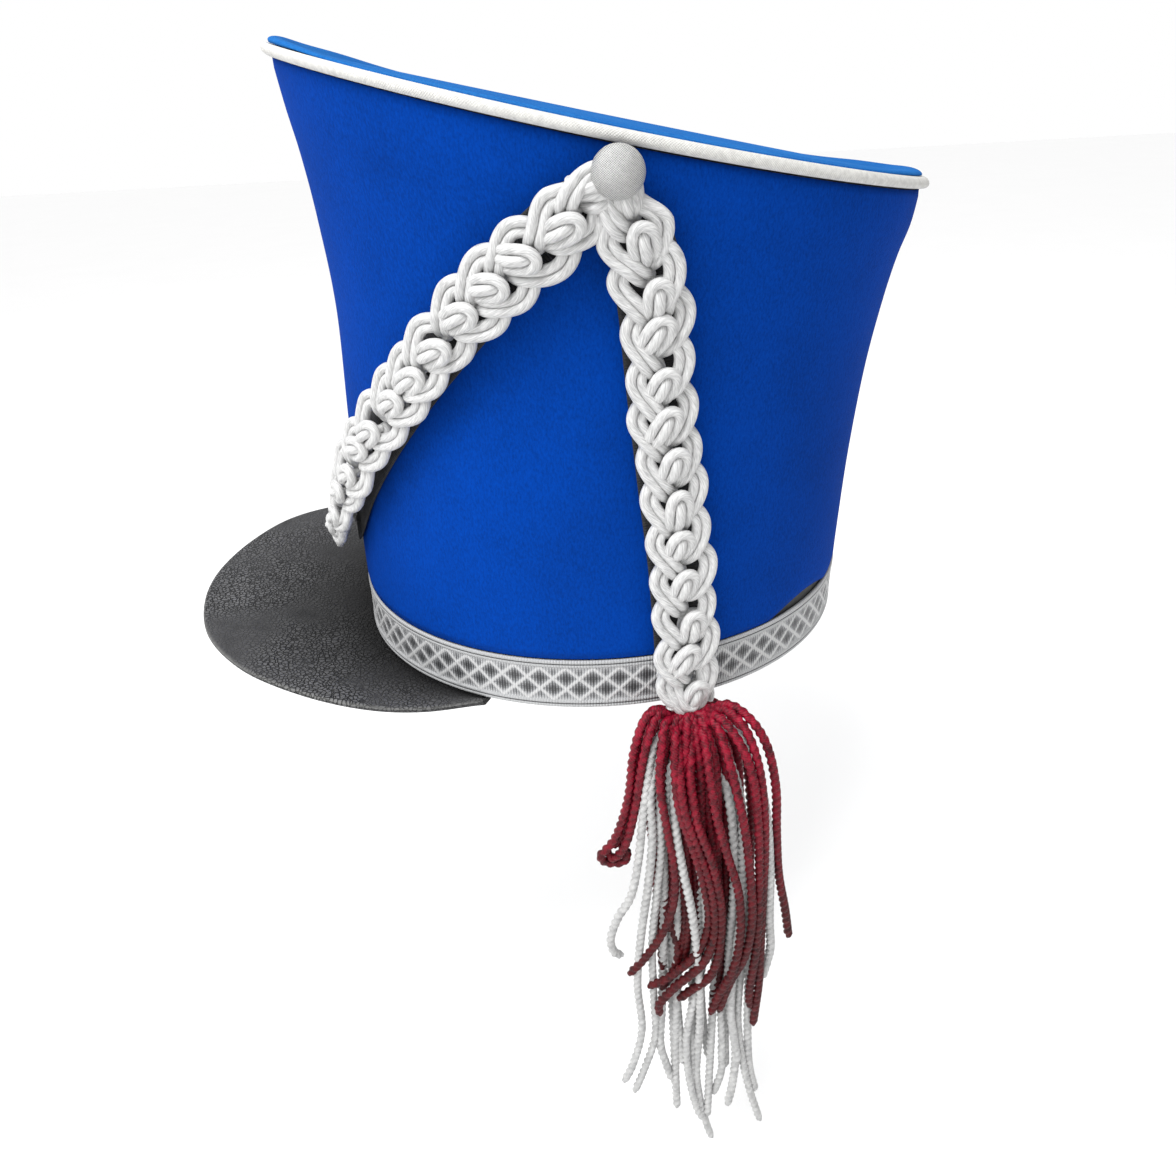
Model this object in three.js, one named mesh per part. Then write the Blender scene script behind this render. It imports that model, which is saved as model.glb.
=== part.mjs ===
// A parade shako hat: a tall blue cloth crown on a stiff black shell, flaring toward the top,
// with a white piped rim, a silver galon band, a flat black visor, two dress buttons, looped white
// cord braids and one long tassel on the wearer's left.
//
// Millimetres, +Z up. The visor points along -Y and the wearer's left is +X. The origin is the
// centre of the opening at the base rim, where the hat sits on a head.

import * as THREE from 'three';

// ---------------------------------------------------------------- driving dimensions

const AROUND = 48; // facets round the crown
const GAP = 0.3; // space left between neighbouring pieces

const BAND_HEIGHT = 18.7;
const FRONT_HEIGHT = 212.5; // top edge of the crown at the front
const BACK_HEIGHT = 159.5; // top edge of the crown at the back
const SIDE_DIP = 3.9; // how far the rim sags at the two sides
const OVAL = 8; // the half-width is this much less than the half-length

// Outside of the crown's cloth: `up` is the share of the height, `half` the half-length of the oval
// and `shift` how far its centre has moved back.
const CROWN_PROFILE = [
  { up: 0.0, half: 95.6, shift: 0.0 },
  { up: 0.2, half: 96.4, shift: 1.3 },
  { up: 0.4, half: 97.0, shift: 3.4 },
  { up: 0.6, half: 98.0, shift: 6.4 },
  { up: 0.75, half: 101.0, shift: 7.9 },
  { up: 0.85, half: 104.0, shift: 8.8 },
  { up: 0.92, half: 107.0, shift: 9.5 },
  { up: 1.0, half: 109.2, shift: 9.6 },
];

// Distances out from the cloth's outside face.
const CLOTH_IN = -1.2;
const SHELL_OUT = CLOTH_IN - GAP;
const SHELL_IN = SHELL_OUT - 2.0;
const BAND_IN = SHELL_OUT + GAP;
const BAND_OUT = 0.2;

const CLOTH_FOOT = BAND_HEIGHT + 0.6; // cut edge of the cloth, just above the band
const CRESCENT_RISE = 4.2; // the cut edge lifts behind each side and shows the shell
const CRESCENT_MIDDLE = 49; // degrees behind the side
const CRESCENT_HALF = 12; // degrees to each end of the lifted edge

const PIPING_RADIUS = 1.8;
const PIPING_OUT = SHELL_OUT + GAP + PIPING_RADIUS;

const VISOR_THICK = 2.6;
const VISOR_END = 26; // degrees in front of the side where the visor starts
const VISOR_TOP = -0.3; // its tucked flange passes just under the rim

// Outer edge of the visor's top face, from the end at the band to the tip.
const VISOR_EDGE = [
  { x: 81.0, y: -42.8, z: 0.6 },
  { x: 87.0, y: -63.0, z: 3.2 },
  { x: 85.8, y: -83.0, z: 4.6 },
  { x: 79.0, y: -106.0, z: 6.8 },
  { x: 68.5, y: -129.0, z: 10.8 },
  { x: 50.4, y: -147.2, z: 13.4 },
  { x: 26.3, y: -158.3, z: 13.8 },
  { x: 0.0, y: -162.9, z: 13.3 },
];

const BUTTON_ANGLE = 0; // degrees behind the side
const BUTTON_Z = 173.6;
const BUTTON_RADIUS = 6.8;
const BUTTON_FOOT = 1.2; // shank starts this far off the cloth
const BUTTON_BACK = 6.0;
const BUTTON_FRONT = 12.6;

const BACKING_OFF = 0.6; // the black strip's inner face off the cloth
const BACKING_THICK = 1.0;
const BACKING_HALF = 9.0;
const BRAID_OFF = BACKING_OFF + BACKING_THICK + 0.8;
const BRAID_THICK = 8.6;
const BRAID_HALF = 10.0;

// Middle line of the front swag on the wearer's left, from the button to the centre of the front.
// `angle` is degrees in front of the side, `z` the height, `half` the half-width of the braid.
const SWAG = [
  { angle: 4.6, z: 167.5, half: 4.0 },
  { angle: 8.6, z: 159.5, half: 8.0 },
  { angle: 13.4, z: 152.5, half: 10.0 },
  { angle: 18.7, z: 145.0, half: 10.0 },
  { angle: 26.5, z: 131.5, half: 10.0 },
  { angle: 35.2, z: 116.0, half: 10.0 },
  { angle: 45.0, z: 97.0, half: 10.0 },
  { angle: 57.0, z: 74.0, half: 10.0 },
  { angle: 69.0, z: 52.0, half: 10.0 },
  { angle: 80.0, z: 43.0, half: 10.0 },
  { angle: 90.0, z: 41.0, half: 10.0 },
];

// Middle line of the braid that drops to the tassel. `angle` is degrees behind the side.
const DROP = [
  { angle: 0.9, z: 165.5, half: 4.0 },
  { angle: 2.6, z: 158.0, half: 8.0 },
  { angle: 4.3, z: 149.5, half: 10.0 },
  { angle: 5.7, z: 136.0, half: 10.0 },
  { angle: 7.5, z: 112.0, half: 10.0 },
  { angle: 10.0, z: 86.0, half: 10.0 },
  { angle: 12.7, z: 58.5, half: 10.0 },
  { angle: 14.2, z: 36.0, half: 10.0 },
  { angle: 15.0, z: 20.0, half: 10.0 },
  { angle: 15.4, z: 8.0, half: 9.6 },
  { angle: 15.5, z: 1.0, half: 8.2 },
  { angle: 15.5, z: -2.6, half: 5.6 },
];

// Outer form of the tassel: level ovals from the top down, burgundy first and then white.
const BURGUNDY = [
  { x: 92.0, y: 26.5, z: -3.4, halfX: 4.5, halfY: 8.0 },
  { x: 93.5, y: 26.8, z: -8.0, halfX: 8.5, halfY: 16.5 },
  { x: 95.0, y: 27.2, z: -18.0, halfX: 10.5, halfY: 20.0 },
  { x: 96.5, y: 27.8, z: -45.0, halfX: 12.0, halfY: 22.5 },
  { x: 97.5, y: 28.6, z: -85.0, halfX: 12.0, halfY: 24.5 },
  { x: 98.0, y: 29.0, z: -115.0, halfX: 11.0, halfY: 24.5 },
  { x: 98.0, y: 29.4, z: -134.0, halfX: 8.5, halfY: 20.0 },
];
const WHITE = [
  { x: 98.0, y: 29.4, z: -134.4, halfX: 8.0, halfY: 19.0 },
  { x: 98.0, y: 29.6, z: -155.0, halfX: 9.0, halfY: 22.0 },
  { x: 98.0, y: 30.0, z: -185.0, halfX: 8.5, halfY: 21.0 },
  { x: 98.0, y: 30.5, z: -205.0, halfX: 5.5, halfY: 14.0 },
  { x: 98.0, y: 30.5, z: -212.0, halfX: 2.5, halfY: 6.0 },
];

// ---------------------------------------------------------------- small helpers

const rad = (degrees) => (degrees * Math.PI) / 180;

// Smooth value of one named column at a position along a table, by Catmull-Rom.
function smooth(rows, key, place) {
  const last = rows.length - 1;
  const i = Math.min(Math.floor(place), last - 1);
  const f = place - i;
  const p1 = rows[i][key];
  const p2 = rows[i + 1][key];
  const p0 = i > 0 ? rows[i - 1][key] : 2 * p1 - p2;
  const p3 = i + 2 <= last ? rows[i + 2][key] : 2 * p2 - p1;
  const a = 2 * p1;
  const b = p2 - p0;
  const c = 2 * p0 - 5 * p1 + 4 * p2 - p3;
  const d = 3 * p1 - p0 - 3 * p2 + p3;
  return 0.5 * (a + b * f + c * f * f + d * f * f * f);
}

// Straight-line value of a column of the crown's profile at a share of its height.
function profile(key, up) {
  const rows = CROWN_PROFILE;
  let i = 0;
  while (i < rows.length - 2 && up > rows[i + 1].up) i += 1;
  const f = (up - rows[i].up) / (rows[i + 1].up - rows[i].up);
  return rows[i][key] + (rows[i + 1][key] - rows[i][key]) * f;
}

// Height of the crown's top edge at an angle, or on a smaller copy of the oval inside it.
function rimHeight(angle, scale = 1) {
  const s = Math.sin(angle);
  const middle = (FRONT_HEIGHT + BACK_HEIGHT) / 2;
  const tilt = (BACK_HEIGHT - FRONT_HEIGHT) / 2;
  return middle + tilt * s * scale - SIDE_DIP * (1 - s * s) * scale * scale;
}

// A point of the crown at an angle and height, `out` millimetres off the cloth's outside face.
function crownPoint(angle, z, out) {
  const up = z / rimHeight(angle);
  const half = profile('half', up) + out;
  const x = (half - OVAL) * Math.cos(angle);
  const y = profile('shift', up) + half * Math.sin(angle);
  return new THREE.Vector3(x, y, z);
}

// A point near the top edge: `out` off the cloth's face and `rise` above the edge.
function rimPoint(angle, out, rise) {
  const half = CROWN_PROFILE[CROWN_PROFILE.length - 1].half;
  const scale = (half + out) / half;
  const z = rimHeight(angle, scale) + rise;
  const x = (half + out - OVAL * scale) * Math.cos(angle);
  const y = CROWN_PROFILE[CROWN_PROFILE.length - 1].shift + (half + out) * Math.sin(angle);
  return new THREE.Vector3(x, y, z);
}

// Turn a list of points and triangles into a closed mesh that faces outward.
function solid(points, triangles) {
  let volume = 0;
  for (const [a, b, c] of triangles) {
    const cross = new THREE.Vector3().crossVectors(points[b], points[c]);
    volume += points[a].dot(cross);
  }
  const faces = volume < 0 ? triangles.map(([a, b, c]) => [a, c, b]) : triangles;
  const geometry = new THREE.BufferGeometry();
  const numbers = points.flatMap((p) => [p.x, p.y, p.z]);
  geometry.setAttribute('position', new THREE.Float32BufferAttribute(numbers, 3));
  geometry.setIndex(faces.flat());
  geometry.computeVertexNormals();
  return geometry;
}

// A body skinned over sections of equal, even point count. Every section is a closed loop of points.
// When `closed`, the last section joins the first; otherwise both ends are filled in strips.
function skin(sections, closed) {
  const count = sections[0].length;
  const points = sections.flat();
  const triangles = [];
  const spans = closed ? sections.length : sections.length - 1;
  for (let i = 0; i < spans; i += 1) {
    const here = i * count;
    const next = ((i + 1) % sections.length) * count;
    for (let j = 0; j < count; j += 1) {
      const k = (j + 1) % count;
      triangles.push([here + j, next + j, next + k]);
      triangles.push([here + j, next + k, here + k]);
    }
  }
  if (!closed) {
    const final = (sections.length - 1) * count;
    for (let j = 0; j < count / 2 - 1; j += 1) {
      const k = count - 1 - j;
      triangles.push([j, j + 1, k - 1]);
      triangles.push([j, k - 1, k]);
      triangles.push([final + j, final + k - 1, final + j + 1]);
      triangles.push([final + j, final + k, final + k - 1]);
    }
  }
  return solid(points, triangles);
}

// A ring round the crown: `section` returns the closed outline at an angle.
function ring(section) {
  const sections = [];
  for (let i = 0; i < AROUND; i += 1) {
    sections.push(section((2 * Math.PI * i) / AROUND));
  }
  return skin(sections, true);
}

// A round plate: two stacks of rings, top and underside, each closed at its middle.
function plate(topRows, underRows, middleTop, middleUnder) {
  const points = [];
  const triangles = [];
  const rows = [...topRows, ...underRows];
  for (const row of rows) {
    for (let i = 0; i < AROUND; i += 1) points.push(row((2 * Math.PI * i) / AROUND));
  }
  const top = points.push(middleTop) - 1;
  const under = points.push(middleUnder) - 1;
  for (let i = 0; i < AROUND; i += 1) {
    const k = (i + 1) % AROUND;
    triangles.push([top, i, k]);
    for (let r = 0; r < rows.length - 1; r += 1) {
      const a = r * AROUND;
      const b = a + AROUND;
      triangles.push([a + i, b + i, b + k]);
      triangles.push([a + i, b + k, a + k]);
    }
    const low = (rows.length - 1) * AROUND;
    triangles.push([low + i, under, low + k]);
  }
  return solid(points, triangles);
}

// ---------------------------------------------------------------- crown

// The stiff wall and its cloth share the same heights, so they stay nested.
function wallSection(angle, inner, outer, foot, topRise) {
  const top = rimHeight(angle) + topRise;
  const heights = CROWN_PROFILE.map((row) => Math.min(Math.max(row.up * rimHeight(angle), foot), top));
  heights[heights.length - 1] = top;
  const outside = heights.map((z) => crownPoint(angle, z, outer));
  const inside = heights.map((z) => crownPoint(angle, z, inner)).reverse();
  return [...outside, ...inside];
}

function crownShell() {
  return ring((angle) => wallSection(angle, SHELL_IN, SHELL_OUT, 0, 0));
}

// Height of the cloth's cut edge: level, with a shallow lifted crescent behind each side.
function clothFoot(angle) {
  const behind = Math.asin(Math.sin(angle)) * (180 / Math.PI);
  const from = Math.abs(behind - CRESCENT_MIDDLE) / CRESCENT_HALF;
  const lift = from < 1 ? Math.cos((from * Math.PI) / 2) : 0;
  return CLOTH_FOOT + CRESCENT_RISE * lift;
}

function crownCover() {
  return ring((angle) => wallSection(angle, CLOTH_IN, 0, clothFoot(angle), -2.2));
}

function baseBand() {
  return ring((angle) => [
    crownPoint(angle, 0, BAND_OUT),
    crownPoint(angle, BAND_HEIGHT, BAND_OUT),
    crownPoint(angle, BAND_HEIGHT, BAND_IN),
    crownPoint(angle, 0, BAND_IN),
  ]);
}

// ---------------------------------------------------------------- top

function topPiping() {
  return ring((angle) => {
    const loop = [];
    for (let i = 0; i < 8; i += 1) {
      const a = (2 * Math.PI * i) / 8;
      loop.push(
        rimPoint(angle, PIPING_OUT + PIPING_RADIUS * Math.cos(a), PIPING_RADIUS * Math.sin(a)),
      );
    }
    return loop;
  });
}

// Cloth lid: a rolled edge that stands above the piping, then a shallow dish.
const LID_TOP = [
  { out: -75, rise: 0.8 },
  { out: -30, rise: 1.1 },
  { out: -12, rise: 1.6 },
  { out: -6.5, rise: 2.9 },
  { out: -3.2, rise: 3.6 },
  { out: -0.8, rise: 3.5 },
  { out: -0.1, rise: 2.8 },
];
const LID_UNDER = [
  { out: -0.4, rise: 2.1 },
  { out: -5.6, rise: 2.0 },
  { out: -12, rise: 0.5 },
  { out: -30, rise: -0.5 },
  { out: -75, rise: -0.8 },
];

function topCover() {
  const row = (r) => (angle) => rimPoint(angle, r.out, r.rise);
  const shift = CROWN_PROFILE[CROWN_PROFILE.length - 1].shift;
  const middle = rimHeight(0, 0);
  return plate(
    LID_TOP.map(row),
    LID_UNDER.map(row),
    new THREE.Vector3(0, shift, middle + 0.7),
    new THREE.Vector3(0, shift, middle - 0.9),
  );
}

// ---------------------------------------------------------------- visor

function visor() {
  const sections = [];
  const steps = 32;
  for (let i = 0; i <= steps; i += 1) {
    const across = (2 * i) / steps - 1; // -1 at the wearer's right end, +1 at the left end
    const place = (1 - Math.abs(across)) * (VISOR_EDGE.length - 1);
    const angle = rad(-90 + across * (90 - VISOR_END));
    const side = across < 0 ? -1 : 1;
    const edge = new THREE.Vector3(
      side * smooth(VISOR_EDGE, 'x', place),
      smooth(VISOR_EDGE, 'y', place),
      smooth(VISOR_EDGE, 'z', place),
    );
    const tuck = crownPoint(angle, 0, SHELL_IN + 0.4).setZ(VISOR_TOP);
    const bend = crownPoint(angle, 0, BAND_OUT + 0.5).setZ(VISOR_TOP);
    const middle = bend.clone().lerp(edge, 0.5);
    const top = [tuck, bend, middle, edge];
    const under = top.map((p) => p.clone().setZ(p.z - VISOR_THICK)).reverse();
    sections.push([...top, ...under]);
  }
  return skin(sections, false);
}

// ---------------------------------------------------------------- buttons

// The domed button on its shank, turned about the outward direction at its place on the cloth.
function button(side) {
  const outline = [
    [0, BUTTON_FOOT],
    [2.2, BUTTON_FOOT],
    [2.2, BUTTON_BACK],
    [BUTTON_RADIUS - 0.8, BUTTON_BACK],
    [BUTTON_RADIUS, BUTTON_BACK + 1.2],
    [BUTTON_RADIUS * 0.92, BUTTON_BACK + 3.1],
    [BUTTON_RADIUS * 0.7, BUTTON_BACK + 5.0],
    [BUTTON_RADIUS * 0.38, BUTTON_FRONT - 0.45],
    [0, BUTTON_FRONT],
  ];
  const points = outline.map(([r, h]) => new THREE.Vector2(r, h));
  const geometry = new THREE.LatheGeometry(points, 24);
  geometry.rotateZ(-Math.PI / 2);
  const seat = crownPoint(rad(BUTTON_ANGLE), BUTTON_Z, 0);
  geometry.translate(seat.x, seat.y, seat.z);
  if (side < 0) geometry.rotateZ(Math.PI).translate(0, 2 * seat.y, 0);
  return geometry;
}

// ---------------------------------------------------------------- braids and their backing

// Where a braid lies: position, outward direction, direction along and direction across.
function braidFrames(stations) {
  const centres = stations.map((s) => crownPoint(s.angle, s.z, 0));
  return stations.map((s, i) => {
    const before = centres[Math.max(i - 1, 0)];
    const after = centres[Math.min(i + 1, centres.length - 1)];
    const along = after.clone().sub(before).normalize();
    const step = 0.01;
    const round = crownPoint(s.angle + step, s.z, 0).sub(crownPoint(s.angle - step, s.z, 0));
    const rise = crownPoint(s.angle, s.z + 4, 0).sub(crownPoint(s.angle, Math.max(s.z - 4, -8), 0));
    const out = round.cross(rise).normalize();
    const across = along.clone().cross(out).normalize();
    return { centre: centres[i], out, along, across, half: s.half };
  });
}

// Stations along a table of rows, `per` to each row, with angles signed by direction.
function stationsOf(rows, sign, per) {
  const list = [];
  const count = (rows.length - 1) * per;
  for (let i = 0; i <= count; i += 1) {
    const place = i / per;
    list.push({
      angle: rad(sign * smooth(rows, 'angle', place)),
      z: smooth(rows, 'z', place),
      half: smooth(rows, 'half', place),
    });
  }
  return list;
}

// The whole front swag: from the left button across the front to the right button.
function swagStations() {
  const left = stationsOf(SWAG, -1, 2);
  const right = left.slice(0, -1).reverse();
  const mirrored = right.map((s) => ({ ...s, angle: -Math.PI - s.angle }));
  return [...left, ...mirrored];
}

// A strip along a braid's route: a flattened round section, or a thin flat one.
function strip(frames, off, thick, halfOf, corners) {
  const sections = frames.map((f) => {
    const half = halfOf(f.half);
    return corners.map(([w, n]) => {
      const lift = off + (thick * (n + 1)) / 2;
      return f.centre.clone().addScaledVector(f.across, half * w).addScaledVector(f.out, lift);
    });
  });
  return skin(sections, false);
}

const ROUNDED = [
  [1, 0], [0.86, 0.62], [0.5, 0.95], [0, 1], [-0.5, 0.95], [-0.86, 0.62],
  [-1, 0], [-0.86, -0.8], [0, -1], [0.86, -0.8],
];
const FLAT = [
  [1, -1], [1, 1], [-1, 1], [-1, -1],
];

function braid(stations) {
  return strip(braidFrames(stations), BRAID_OFF, BRAID_THICK, (half) => half, ROUNDED);
}

function backing(stations) {
  const narrow = (half) => Math.min(half, BACKING_HALF) - 0.4;
  return strip(braidFrames(stations), BACKING_OFF, BACKING_THICK, narrow, FLAT);
}

// ---------------------------------------------------------------- tassel

function tasselForm(rows) {
  const sections = rows.map((row) => {
    const loop = [];
    for (let i = 0; i < 16; i += 1) {
      const a = (2 * Math.PI * i) / 16;
      const x = row.x + row.halfX * Math.cos(a);
      const y = row.y + row.halfY * Math.sin(a);
      loop.push(new THREE.Vector3(x, y, row.z));
    }
    return loop;
  });
  return skin(sections, false);
}

// ---------------------------------------------------------------- assembly

function piece(name, geometry, color, roughness) {
  const material = new THREE.MeshStandardMaterial({ color, roughness, metalness: 0 });
  material.name = name;
  const mesh = new THREE.Mesh(geometry, material);
  mesh.name = name;
  return mesh;
}

const swag = swagStations();
const drop = stationsOf(DROP, 1, 2);

const hat = new THREE.Group();
hat.name = 'shako_hat';
hat.add(piece('crown_shell', crownShell(), 0x1b1c1e, 0.7));
hat.add(piece('crown_cover', crownCover(), 0x0442a7, 0.9));
hat.add(piece('top_cover', topCover(), 0x0c55b0, 0.9));
hat.add(piece('top_piping', topPiping(), 0xe2e2e0, 0.7));
hat.add(piece('base_band', baseBand(), 0xb9bcc0, 0.5));
hat.add(piece('visor', visor(), 0x303133, 0.5));
hat.add(piece('left_button', button(1), 0xc9cacb, 0.4));
hat.add(piece('right_button', button(-1), 0xc9cacb, 0.4));
hat.add(piece('front_backing', backing(swag), 0x161719, 0.8));
hat.add(piece('side_backing', backing(drop.slice(0, -4)), 0x161719, 0.8));
hat.add(piece('front_braid', braid(swag), 0xdededc, 0.45));
hat.add(piece('side_braid', braid(drop), 0xdededc, 0.45));
hat.add(piece('tassel_burgundy', tasselForm(BURGUNDY), 0x6b1a26, 0.6));
hat.add(piece('tassel_white', tasselForm(WHITE), 0xd2d2d0, 0.6));

export default hat;
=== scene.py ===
# %% [markdown]
# # A parade shako hat
#
# The hat is a tall blue felt crown on a stiff black shell. It has a white piped rim, a silver
# galon band, a flat leatherette visor, two thread-covered buttons, braids of looped satin cord and
# one long tassel. Sizes are written in millimetres, as a hatter would, and turned into metres when
# a mesh is made.

# %% Load the frame
import math
import random

import bmesh
import bpy
import numpy as np
from mathutils import Matrix, Vector


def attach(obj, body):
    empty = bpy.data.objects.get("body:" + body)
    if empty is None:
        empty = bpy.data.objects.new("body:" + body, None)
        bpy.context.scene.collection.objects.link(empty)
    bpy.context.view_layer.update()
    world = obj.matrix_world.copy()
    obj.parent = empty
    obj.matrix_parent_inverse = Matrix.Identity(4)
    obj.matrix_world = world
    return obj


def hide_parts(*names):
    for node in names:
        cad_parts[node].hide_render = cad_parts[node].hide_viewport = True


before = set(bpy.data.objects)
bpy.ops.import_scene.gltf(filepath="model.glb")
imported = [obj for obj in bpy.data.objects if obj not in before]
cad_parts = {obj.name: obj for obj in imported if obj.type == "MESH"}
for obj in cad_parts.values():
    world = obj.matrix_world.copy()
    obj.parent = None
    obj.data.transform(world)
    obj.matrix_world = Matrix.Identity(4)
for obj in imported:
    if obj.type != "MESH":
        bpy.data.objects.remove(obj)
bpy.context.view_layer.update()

# %% [markdown]
# ## Camera
#
# The hat is seen from its left side, from close by and a little above. A short lens close to the
# hat makes the near side of the rim sag and the tassel taper, so the distance matters as much as
# the angle. The camera's three axes are built by hand and put in its matrix.

# %% Camera
PITCH, YAW, ROLL = (math.radians(a) for a in (21.22, -0.24, -3.13))
EYE = (0.3308, -0.0006, 0.1877)

ahead = np.array(
    [-math.cos(PITCH) * math.cos(YAW), math.cos(PITCH) * math.sin(YAW), -math.sin(PITCH)]
)
level = np.array([math.sin(YAW), math.cos(YAW), 0.0])
upward = np.cross(level, ahead)
cam_x = math.cos(ROLL) * level + math.sin(ROLL) * upward
cam_y = -math.sin(ROLL) * level + math.cos(ROLL) * upward

camera = bpy.data.objects.new("camera", bpy.data.cameras.new("camera"))
camera.data.lens = 26.66
camera.data.shift_y = -0.117
camera.data.clip_start = 0.01
turn = Matrix((cam_x, cam_y, -ahead)).transposed().to_4x4()
camera.matrix_world = Matrix.Translation(EYE) @ turn
bpy.context.scene.collection.objects.link(camera)
bpy.context.scene.camera = camera
print("lens", camera.data.lens, "mm")

# %% [markdown]
# ## Shape of the crown
#
# Every piece follows one surface: an oval that flares and leans back as it rises, cut off by a
# rim that is high in front and low behind. So the surface is one function of angle, height and
# distance out from the cloth, and each piece asks it for points.

# %% The crown as a function
FRONT_HEIGHT, BACK_HEIGHT, SIDE_DIP, OVAL = 212.5, 159.5, 3.9, 8.0
BAND_HEIGHT = 18.7
PROFILE_UP = [0.0, 0.2, 0.4, 0.6, 0.75, 0.85, 0.92, 1.0]
PROFILE_HALF = [95.6, 96.4, 97.0, 98.0, 101.0, 104.0, 107.0, 109.2]
PROFILE_SHIFT = [0.0, 1.3, 3.4, 6.4, 7.9, 8.8, 9.5, 9.6]


def smooth_rows(rows, steps):
    """A finer table through the rows of a short one, by Catmull-Rom."""
    rows = np.asarray(rows, float)
    ends = np.vstack([2 * rows[0] - rows[1], rows, 2 * rows[-1] - rows[-2]])
    f = (np.arange(steps) / steps)[:, None]
    fine = []
    for p0, p1, p2, p3 in zip(ends, ends[1:], ends[2:], ends[3:]):
        bend = (2 * p0 - 5 * p1 + 4 * p2 - p3) * f**2 + (3 * p1 - p0 - 3 * p2 + p3) * f**3
        fine.append(0.5 * (2 * p1 + (p2 - p0) * f + bend))
    return np.vstack([*fine, rows[-1:]])


PROFILE = smooth_rows(np.stack([PROFILE_UP, PROFILE_HALF, PROFILE_SHIFT], -1), 12)


def rim_height(angle, scale=1.0):
    s = np.sin(angle)
    middle = (FRONT_HEIGHT + BACK_HEIGHT) / 2
    tilt = (BACK_HEIGHT - FRONT_HEIGHT) / 2
    return middle + tilt * s * scale - SIDE_DIP * (1 - s * s) * scale * scale


def crown_point(angle, z, out=0.0):
    angle, z, out = np.broadcast_arrays(angle, z, out)
    up = z / rim_height(angle)
    half = np.interp(up, PROFILE[:, 0], PROFILE[:, 1]) + out
    shift = np.interp(up, PROFILE[:, 0], PROFILE[:, 2])
    return np.stack(
        [(half - OVAL) * np.cos(angle), shift + half * np.sin(angle), z + 0.0 * angle], -1
    )


def rim_point(angle, out, rise):
    angle, out, rise = np.broadcast_arrays(angle, out, rise)
    half = PROFILE_HALF[-1]
    scale = (half + out) / half
    return np.stack(
        [
            (half + out - OVAL * scale) * np.cos(angle),
            PROFILE_SHIFT[-1] + (half + out) * np.sin(angle),
            rim_height(angle, scale) + rise,
        ],
        -1,
    )


print("rim at front, side, back", rim_height(np.radians([-90.0, 0.0, 90.0])))

# %% [markdown]
# ## Mesh from a grid
#
# Walls, cords and cloth are all grids of points: round one way, along the other. One helper turns
# a grid into a smooth mesh and lays out its UV map in millimetres, so a weave has its real size.

# %% Grid helper
def new_piece(name, points, faces, corner_uv, material):
    mesh = bpy.data.meshes.new(name)
    mesh.from_pydata((np.asarray(points) * 0.001).tolist(), [], faces)
    layer = mesh.uv_layers.new(name="UVMap")
    layer.data.foreach_set("uv", np.asarray(corner_uv, np.float32).ravel())
    mesh.polygons.foreach_set("use_smooth", [True] * len(mesh.polygons))
    mesh.materials.append(material)
    mesh.update()
    piece = bpy.data.objects.new(name, mesh)
    bpy.context.scene.collection.objects.link(piece)
    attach(piece, "root")
    return piece


def grid_faces(nu, nv, wrap_u, wrap_v, start=0):
    """Faces of a grid, and the grid place of each corner before it wraps round."""
    iu, iv = np.meshgrid(
        np.arange(nu if wrap_u else nu - 1), np.arange(nv if wrap_v else nv - 1), indexing="ij"
    )
    iu, iv = iu.ravel(), iv.ravel()
    cu = np.stack([iu, iu + 1, iu + 1, iu], -1)
    cv = np.stack([iv, iv, iv + 1, iv + 1], -1)
    return start + (cu % nu) * nv + (cv % nv), cu, cv


def grid_piece(name, grid, uv_u, uv_v, material, wrap_u=True, wrap_v=True):
    """grid is (around, across, 3). uv_u and uv_v have one value more where that way wraps."""
    nu, nv = grid.shape[:2]
    faces, cu, cv = grid_faces(nu, nv, wrap_u, wrap_v)
    uv = np.stack([np.asarray(uv_u)[cu], np.asarray(uv_v)[cv]], -1)
    return new_piece(name, grid.reshape(-1, 3), faces.tolist(), uv.reshape(-1, 2), material)


def cap(piece, loops):
    """Close the ends of a grid with one face through each loop of point numbers."""
    mesh = bmesh.new()
    mesh.from_mesh(piece.data)
    mesh.verts.ensure_lookup_table()
    for loop in loops:
        mesh.faces.new([mesh.verts[i] for i in loop])
    bmesh.ops.recalc_face_normals(mesh, faces=mesh.faces)
    mesh.to_mesh(piece.data)
    mesh.free()


def run_lengths(points, closed=False):
    """Length in millimetres from the first point to each point along a line."""
    points = np.asarray(points)
    if closed:
        points = np.vstack([points, points[:1]])
    return np.concatenate([[0.0], np.cumsum(np.linalg.norm(np.diff(points, axis=0), axis=1))])


# %% [markdown]
# ## Finishes
#
# A finish starts from the Principled shader. Each one adds what the real stuff shows close up:
# the mottle and nap of felt, the lattice woven into the galon, the grain of leatherette, the
# fibres of satin cord. Colours are picked as screen values and turned into linear ones.

# %% Finish helpers
def colour(red, green, blue):
    def linear(c):
        c /= 255.0
        return c / 12.92 if c <= 0.04045 else ((c + 0.055) / 1.055) ** 2.4

    return (linear(red), linear(green), linear(blue), 1.0)


BLACK, WHITE = (0.0, 0.0, 0.0, 1.0), (1.0, 1.0, 1.0, 1.0)


class Nodes:
    """Short ways to add nodes to a tree and join them."""

    def __init__(self, tree):
        self.tree = tree

    def add(self, kind, **settings):
        node = self.tree.nodes.new(kind)
        for key, value in settings.items():
            setattr(node, key, value)
        return node

    def join(self, source, target):
        self.tree.links.new(source, target)

    def split(self, where):
        node = self.add("ShaderNodeSeparateXYZ")
        self.join(where, node.inputs[0])
        return node.outputs

    def math(self, operation, a, b=0.0, c=0.0):
        node = self.add("ShaderNodeMath", operation=operation)
        for socket, value in zip(node.inputs, (a, b, c)):
            if isinstance(value, (int, float)):
                socket.default_value = value
            else:
                self.join(value, socket)
        return node.outputs[0]


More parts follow.
